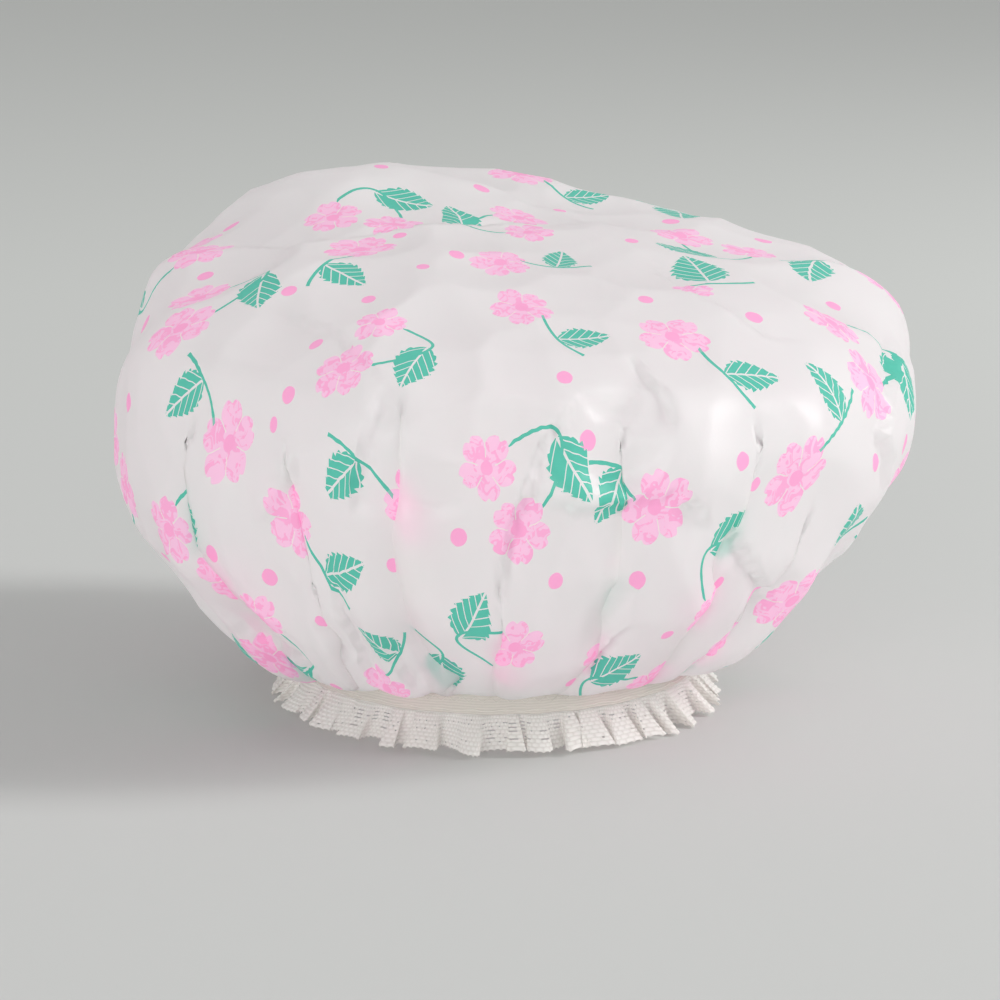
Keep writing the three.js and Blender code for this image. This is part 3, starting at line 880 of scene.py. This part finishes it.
dot_field = calc_vector(tree, "ADD", blank_mm, DOT_SHIFT)
dot_place, dot_chances = scatter(tree, dot_field, DOT_SPACING, 0.8)
dot_place = calc_vector(tree, "SUBTRACT", dot_place, DOT_SHIFT)
dot_far = distance(tree, blank_mm, dot_place)
dot_motif, _ = scatter(tree, dot_place, MOTIF_SPACING, MOTIF_EVENNESS)
dot_clear = distance(tree, dot_place, dot_motif)
dot_size = times_plus(tree, dot_chances[2], 0.7, DOT_RADIUS - 0.5)
dots = times(tree, is_less(tree, dot_far, dot_size), is_more(tree, dot_clear, DOT_CLEARANCE))


def of_kinds(tree, of_twin, of_single, of_bud):
    """The masks of the three kinds of motif, each where its kind grows."""
    return any_of(
        tree, times(tree, of_twin, twin), times(tree, of_single, single), times(tree, of_bud, bud)
    )


pink_ink = of_kinds(tree, twin_pink, single_pink, bud_pink)
heart_ink = any_of(tree, of_kinds(tree, twin_heart, single_heart, bud_heart), dots)
green_ink = of_kinds(tree, twin_green, single_green, bud_green)
brush = noise(
    tree, blank_mm, 0.28, 2.0, {"Roughness": 0.6, "Distortion": 1.2}, noise_dimensions="2D"
)
brushed = is_more(tree, brush, 0.54)
dark_part = calc(tree, "MAXIMUM", heart_ink, times(tree, brushed, 0.85))
pink_shade = mix_colour(tree, dark_part, PINK, DARK_PINK)
film_cloud = noise(tree, blank_mm, 0.02, 3.0, noise_dimensions="2D")
film_shade = mix_colour(tree, film_cloud, FILM_COLOUR, FILM_SHADED)
film_shade = mix_colour(tree, any_of(tree, pink_ink, dots), film_shade, pink_shade)
film_shade = mix_colour(tree, green_ink, film_shade, GREEN)

grain = noise(tree, blank_mm, *FILM_GRAIN, {"Roughness": 0.7}, noise_dimensions="2D")
film_bump = bump(tree, grain, 0.10, 0.0002)
# The painted glow of the pink inks and dots, a weak light of their own.
ink_painted_glow = mix_colour(tree, any_of(tree, pink_ink, dots), (0, 0, 0, 1), INK_PAINTED_GLOW)
set_inputs(tree, film_shader, {
    "Base Color": film_shade, "Roughness": times_plus(tree, grain, 0.16, 0.28),
    "Normal": film_bump, "Specular IOR Level": 0.5,
    "Emission Color": ink_painted_glow, "Emission Strength": 0.35,
})
film_glow = {"Color": film_shade, "Normal": film_bump}
let_through(tree, film_shader, film_out, FILM_LETS_THROUGH, film_glow)
film_crown.data.materials.append(film_material)

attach(film_crown, "root")
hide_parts("crown_film")


# The elastic band. One strip of woven elastic, 6 mm wide, with cords along it and a fine
# weave across. Its ends lap at the back, and it is sewn round the outside of film and lace.
BAND_RADIUS = 59
BAND_WIDTH = 6
BAND_THICKNESS = 0.9
BAND_BOTTOM = 10.5
BAND_CORDS = 7
BAND_CORD_HEIGHT = 0.08
BAND_LAP = 14
BAND_LAP_RAMP = 9
BAND_LAP_STEP = 1.2
BAND_STEPS = 420
BACK = math.pi / 2

band_profile = []
for k in range(4 * BAND_CORDS + 1):
    share = k / (4 * BAND_CORDS)
    cord = BAND_CORD_HEIGHT * (abs(math.sin(math.pi * BAND_CORDS * share)) - 1)
    rounding = 0.3 * (max(0, abs(2 * share - 1) - 0.9) / 0.1) ** 2
    band_profile.append((BAND_THICKNESS + cord - rounding, BAND_WIDTH * share))
band_profile += [(inward + 0.05, up) for inward, up in ((0, 5.95), (0, 4), (0, 2), (0, 0.05))]
band_span = FULL_TURN + BAND_LAP / BAND_RADIUS
band_start = BACK - BAND_LAP / 2 / BAND_RADIUS


def lap_climb(angle):
    """How far the upper end of the strip has climbed on to the lower one."""
    ramp = BAND_LAP_RAMP / BAND_RADIUS
    share = np.clip((angle - FULL_TURN - band_start + ramp) / ramp, 0, 1)
    return BAND_LAP_STEP * share * share * (3 - 2 * share)


band_points = []
for k in range(BAND_STEPS + 1):
    angle = band_start + band_span * k / BAND_STEPS
    waver = 0.12 * math.sin(23 * angle + 2 * math.sin(5 * angle))
    climb = lap_climb(angle)
    for out, up in band_profile:
        radius = BAND_RADIUS + climb + out
        band_points.append((
            MOUTH[0] + radius * math.cos(angle),
            MOUTH[1] + radius * math.sin(angle),
            BAND_BOTTOM + up + waver,
        ))
around_count = len(band_profile)
band_faces = [
    (
        k * around_count + n,
        (k + 1) * around_count + n,
        (k + 1) * around_count + (n + 1) % around_count,
        k * around_count + (n + 1) % around_count,
    )
    for k in range(BAND_STEPS) for n in range(around_count)
]
band_faces.append(tuple(range(around_count)))
band_faces.append(tuple(BAND_STEPS * around_count + n for n in reversed(range(around_count))))
elastic_strip = mesh_piece("elastic_strip", band_points, band_faces)
band_number = np.arange(len(band_points))
band_flat = np.stack([
    band_number // around_count * band_span * BAND_RADIUS / BAND_STEPS,
    band_number % around_count * 0.21,
], 1)
lay_map(elastic_strip, "band_map", band_flat * MM)

elastic_material, tree, elastic_shader, _ = new_material("woven_elastic")
band_uv = add_node(tree, "ShaderNodeUVMap", uv_map="band_map").outputs[0]
weave = add_node(
    tree, "ShaderNodeTexWave",
    {"Vector": band_uv, "Scale": 420.0, "Distortion": 2.0, "Detail": 2.0},
    bands_direction="Y",
).outputs[1]
fluff = noise(tree, band_uv, 900.0, 3.0)
set_inputs(tree, elastic_shader, {
    "Base Color": mix_colour(tree, weave, colour(203, 197, 189), colour(214, 208, 200)),
    "Normal": bump(tree, plus(tree, weave, fluff), 0.3, 0.00015),
    "Roughness": times_plus(tree, fluff, 0.2, 0.75), "Sheen Weight": 0.15,
})
elastic_strip.data.materials.append(elastic_material)

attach(elastic_strip, "root")
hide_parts("elastic_band")


# The frill. One strip of knitted lace, close knitted at its header and open towards its
# picot edge. The header lies behind the band, and below it the strip is gathered in
# uneven pleats and flares out to the floor.
LACE_TOP = 15.9
LACE_HEADER_RADIUS = 58.5
LACE_FLARE = 6.0
LACE_PLEATS = 40
LACE_PLEAT_WIDTHS = (0.5, 1.9)
LACE_PLEAT_OUT = 2.9
LACE_PLEAT_LAP = 2.4
LACE_LIFT = 2.2
LACE_COLUMNS = 1500
LACE_KNIT_ROWS = 15
LACE_ROWS = 4 * LACE_KNIT_ROWS
LACE_KNIT_HEIGHT = 0.38
LACE_PICOT = 0.45
LACE_HEADER_SHARE = 0.36
LACE_STITCH_HEIGHT = 0.12
LACE_STITCHES = LACE_COLUMNS / 3
LACE_EASING = 60
SLIT_ROWS = (8, 9, 10, 12)
SLIT_COLUMNS = 10
STRETCH_COLUMNS = 50

lace_chance = np.random.default_rng(5)
pleat_widths = lace_chance.uniform(*LACE_PLEAT_WIDTHS, LACE_PLEATS)
pleat_ends = np.concatenate([[0], np.cumsum(pleat_widths) / pleat_widths.sum()])
column = np.arange(LACE_COLUMNS) / LACE_COLUMNS
pleat_count = np.interp(column, pleat_ends, np.arange(LACE_PLEATS + 1))
pleat_count = smooth_round(pleat_count - column * LACE_PLEATS, LACE_EASING)
lace_phase = FULL_TURN * (pleat_count + column * LACE_PLEATS)


def per_pleat(low, high):
    """A chance value for each pleat, passing smoothly from one pleat to the next."""
    values = lace_chance.uniform(low, high, LACE_PLEATS)
    middles = (pleat_ends[1:] + pleat_ends[:-1]) / 2
    return smooth_round(np.interp(column, middles, values, period=1), LACE_EASING)


lace_out = per_pleat(0.45, 1.25)
lace_lean = per_pleat(-1.0, 1.0)
lace_lift = LACE_LIFT * per_pleat(0, 1)
lace_front = np.tanh(1.3 * (np.sin(lace_phase) + 0.35))
lace_puff = 0.5 * np.sin(2.3 * lace_phase + 1) * np.sin(FULL_TURN * 6 * column)
lace_points = np.zeros((LACE_ROWS + 1, LACE_COLUMNS, 3))
for row in range(LACE_ROWS + 1):
    share = row / LACE_ROWS
    below = max((share - LACE_HEADER_SHARE) / (1 - LACE_HEADER_SHARE), 0)
    opening = below**0.7
    sway = LACE_PLEAT_OUT * lace_out * (lace_front + lace_puff * below) * opening
    slide = lace_lean * np.cos(lace_phase) - 0.5 * np.sin(2 * lace_phase)
    slide = LACE_PLEAT_LAP * opening * slide
    stitch = np.cos(FULL_TURN * LACE_STITCHES * column + math.pi * (row // 4))
    knit = LACE_KNIT_HEIGHT * abs(math.sin(math.pi * LACE_KNIT_ROWS * share))
    knit = knit + LACE_STITCH_HEIGHT * stitch
    radius = LACE_HEADER_RADIUS + LACE_FLARE * below**1.3 + sway + knit
    angle = FULL_TURN * column + slide / LACE_HEADER_RADIUS
    picot = LACE_PICOT * (np.arange(LACE_COLUMNS) % 3 == 0) if row == LACE_ROWS else 0
    height = LACE_TOP * (1 - share) + LACE_PICOT - picot + lace_lift * below
    lace_points[row] = np.stack([
        MOUTH[0] + radius * np.cos(angle), MOUTH[1] + radius * np.sin(angle), height,
    ], axis=1)
lace_points[..., 2] -= lace_points[..., 2].min()
lace_gap = lace_chance.uniform(0, 1, (LACE_KNIT_ROWS, LACE_COLUMNS // SLIT_COLUMNS))
open_stretch = lace_chance.uniform(0, 1, LACE_COLUMNS // STRETCH_COLUMNS) > 0.62


def is_open(row, k):
    """Whether a cell of the strip is a hole: a fine gap here and there, and slits in groups."""
    knit_row = row // 4
    gap = lace_gap[knit_row, k // SLIT_COLUMNS]
    fine_gap = row % 4 == 0 and k % 5 == 2 * (knit_row % 2) and knit_row > 6 and gap < 0.22
    slit = row % 4 == 0 and knit_row in SLIT_ROWS and k % SLIT_COLUMNS < 5 and gap > 0.45
    return fine_gap or (slit and open_stretch[k // STRETCH_COLUMNS])


lace_faces = []
for row in range(LACE_ROWS):
    for k in range(LACE_COLUMNS):
        if is_open(row, k):
            continue
        beside = (k + 1) % LACE_COLUMNS
        lace_faces.append((
            row * LACE_COLUMNS + k, (row + 1) * LACE_COLUMNS + k,
            (row + 1) * LACE_COLUMNS + beside, row * LACE_COLUMNS + beside,
        ))
lace_strip = mesh_piece("lace_strip", lace_points.reshape(-1, 3), lace_faces)
lace_number = np.arange((LACE_ROWS + 1) * LACE_COLUMNS)
lace_flat = np.stack([
    lace_number % LACE_COLUMNS * LACE_STITCHES / LACE_COLUMNS,
    lace_number // LACE_COLUMNS * LACE_KNIT_ROWS / LACE_ROWS,
], axis=1)
lay_map(lace_strip, "strip_map", lace_flat)

lace_material, tree, lace_shader, lace_end = new_material("knitted_lace")
lace_place = add_node(tree, "ShaderNodeTexCoord").outputs["Object"]
strip_uv = add_node(tree, "ShaderNodeUVMap", uv_map="strip_map").outputs[0]
strip_x, strip_y, _ = add_node(tree, "ShaderNodeSeparateXYZ", {0: strip_uv}).outputs
# Painted shade: the lace is darkened in the valleys between its knit loops and rows, where shade
# falls.
row_wave = calc(tree, "ABSOLUTE", calc(tree, "SINE", times(tree, strip_y, math.pi)))
half_step = times(tree, calc(tree, "FLOOR", strip_y), 0.5)
loop_turn = times(tree, plus(tree, strip_x, half_step), math.pi)
loop_wave = calc(tree, "ABSOLUTE", calc(tree, "SINE", loop_turn))
shade_between_loops = minus(tree, 1.0, times(tree, row_wave, loop_wave))
shade_between_loops = times(tree, calc(tree, "POWER", shade_between_loops, 2.0), 0.5)
lace_cloud = noise(tree, lace_place, 120.0, 2.0)
lace_shade = mix_colour(tree, lace_cloud, colour(255, 254, 251), colour(250, 247, 242))
# The painted shade between the knit loops, in a grey beige.
lace_shade = mix_colour(tree, shade_between_loops, lace_shade, colour(218, 213, 207))
set_inputs(tree, lace_shader, {
    "Base Color": lace_shade, "Roughness": 0.85, "Sheen Weight": 0.2,
    "Normal": bump(tree, noise(tree, lace_place, 1300.0, 3.0), 0.9, 0.0003),
})
let_through(tree, lace_shader, lace_end, 0.35, {"Color": lace_shade})
lace_strip.data.materials.append(lace_material)

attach(lace_strip, "root")
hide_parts("lace_frill")


# The seams. White thread: a zigzag row that joins film and band, a plain row that holds the
# lace, and a tack across the lap of the band at the back.
THREAD_RADIUS = 0.13
ZIGZAGS = 96
ZIGZAG_HEIGHT = 14.8
ZIGZAG_REACH = 0.8  # up and down
LACE_SEAM_POINTS = 480
LACE_SEAM_HEIGHT = 11.7
TACK_STITCHES = 18
TACK_BOTTOM = 12.5
TACK_HALF_WIDTH = 0.055  # radians round the band
TACK_STEP = 0.055
TACK_OUT = 0.9


def thread_piece(name, points, closed, node):
    curve = bpy.data.curves.new(name, "CURVE")
    curve.dimensions = "3D"
    curve.bevel_depth = THREAD_RADIUS * MM
    curve.bevel_resolution = 2
    line = curve.splines.new("POLY")
    line.points.add(len(points) - 1)
    line.points.foreach_set("co", (np.array([(*p, 1 / MM) for p in points]) * MM).ravel())
    line.use_cyclic_u = closed
    line.use_smooth = True
    piece = bpy.data.objects.new(name, curve)
    bpy.context.scene.collection.objects.link(piece)
    curve.materials.append(thread_material)
    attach(piece, "root")
    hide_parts(node)


thread_material, tree, thread_shader, _ = new_material("sewing_thread")
thread_place = add_node(tree, "ShaderNodeTexCoord").outputs["Object"]
twist = noise(tree, thread_place, 2500.0, 1.0)
set_inputs(tree, thread_shader, {
    "Base Color": mix_colour(tree, twist, colour(218, 213, 205), colour(228, 224, 217)),
    "Normal": bump(tree, twist, 0.4, 0.0001), "Roughness": 0.6,
})


def on_band(angle, height):
    climb = lap_climb(angle if angle > FULL_TURN + band_start - 0.5 else angle + FULL_TURN)
    over = climb if BACK - 0.5 < angle < BACK + 0.125 else 0
    radius = BAND_RADIUS + BAND_THICKNESS + over
    return MOUTH[0] + radius * math.cos(angle), MOUTH[1] + radius * math.sin(angle), height


zigzag = []
for k in range(2 * ZIGZAGS):
    angle = FULL_TURN * k / (2 * ZIGZAGS)
    aside = ZIGZAG_REACH if k % 2 else -ZIGZAG_REACH
    zigzag.append(on_band(angle, ZIGZAG_HEIGHT + aside))
thread_piece("zigzag_seam", zigzag, True, "film_zigzag_stitches")
lace_seam_points = []
for k in range(LACE_SEAM_POINTS):
    angle = FULL_TURN * k / LACE_SEAM_POINTS
    lace_seam_points.append(on_band(angle, LACE_SEAM_HEIGHT + 0.25 * math.sin(40 * angle)))
thread_piece("lace_seam", lace_seam_points, True, "lace_chain_stitches")
tack_points = []
for k in range(TACK_STITCHES + 1):
    angle = BACK + (TACK_HALF_WIDTH if k % 2 else -TACK_HALF_WIDTH)
    place = np.array(on_band(angle, TACK_BOTTOM + k * TACK_STEP))
    place[:2] += (place[:2] - MOUTH) / np.linalg.norm(place[:2] - MOUTH) * TACK_OUT
    tack_points.append(tuple(place))
thread_piece("lap_tack", tack_points, False, "lap_bar_tack")


# The studio. A wide pale floor runs back out of sight. Soft light fills in from all
# round, and one broad lamp from the right throws the soft shadow to the left.
FLOOR_REACH = 30
FLOOR_COLOUR = colour(203, 204, 202)
# Painted light: the floor is painted a little lighter behind the cap, where light falls brighter on
# it, and a touch less so further back.
FLOOR_PAINTED_LIGHT = (  # metres behind the cap where each begins and is full
    (0.0, 0.8, colour(209, 211, 208)),
    (0.9, 4.5, colour(206, 208, 205)),
)
floor_mesh = bpy.data.meshes.new("floor")
floor_mesh.from_pydata(
    [(x * FLOOR_REACH, y * FLOOR_REACH, -0.0002) for x, y in ((-1, -1), (1, -1), (1, 1), (-1, 1))],
    [], [(0, 1, 2, 3)],
)
floor = bpy.data.objects.new("floor", floor_mesh)
bpy.context.scene.collection.objects.link(floor)
floor_material, tree, floor_shader, _ = new_material("pale_floor")
floor_place = add_node(tree, "ShaderNodeTexCoord").outputs["Object"]
far = add_node(tree, "ShaderNodeSeparateXYZ", {0: floor_place}).outputs[1]
floor_shade = FLOOR_COLOUR
# The floor's painted light, laid on band by band.
for start, end, shade in FLOOR_PAINTED_LIGHT:
    part = add_node(tree, "ShaderNodeMapRange", {0: far, 1: start, 2: end, 3: 0.0, 4: 1.0})
    floor_shade = mix_colour(tree, part.outputs[0], floor_shade, shade)
set_inputs(tree, floor_shader, {
    "Base Color": floor_shade, "Roughness": 0.9, "Specular IOR Level": 0.1,
    "Normal": bump(tree, noise(tree, floor_place, 500.0, 2.0), 0.05, 0.0002),
})
floor_mesh.materials.append(floor_material)

KEY_PLACE = Vector((2.5, -0.2, 1.25))  # m
KEY_SIZE = (0.5, 1.9)
KEY_POWER = 58
FRONT_PLACE = Vector((-1.3, -2.8, 0.4))
FRONT_SIZE = (2.4, 0.7)
FRONT_POWER = 38
FILL_STRENGTH = 0.61


def soft_lamp(name, place, size, power):
    """A rectangular lamp that faces the cap."""
    lamp = bpy.data.lights.new(name, "AREA")
    lamp.shape = "RECTANGLE"
    lamp.size, lamp.size_y = size
    lamp.energy = power
    stand = bpy.data.objects.new(name, lamp)
    stand.location = place
    stand.rotation_euler = (place - Vector((0, 0, 0.08))).to_track_quat("Z", "Y").to_euler()
    bpy.context.scene.collection.objects.link(stand)


soft_lamp("key", KEY_PLACE, KEY_SIZE, KEY_POWER)
soft_lamp("front_fill", FRONT_PLACE, FRONT_SIZE, FRONT_POWER)
studio_air = bpy.data.worlds.new("studio_air")
studio_air.use_nodes = True
air = studio_air.node_tree.nodes["Background"]
air.inputs[0].default_value = (1, 1, 1, 1)
air.inputs[1].default_value = FILL_STRENGTH
bpy.context.scene.world = studio_air
bpy.context.scene.view_settings.view_transform = "Standard"
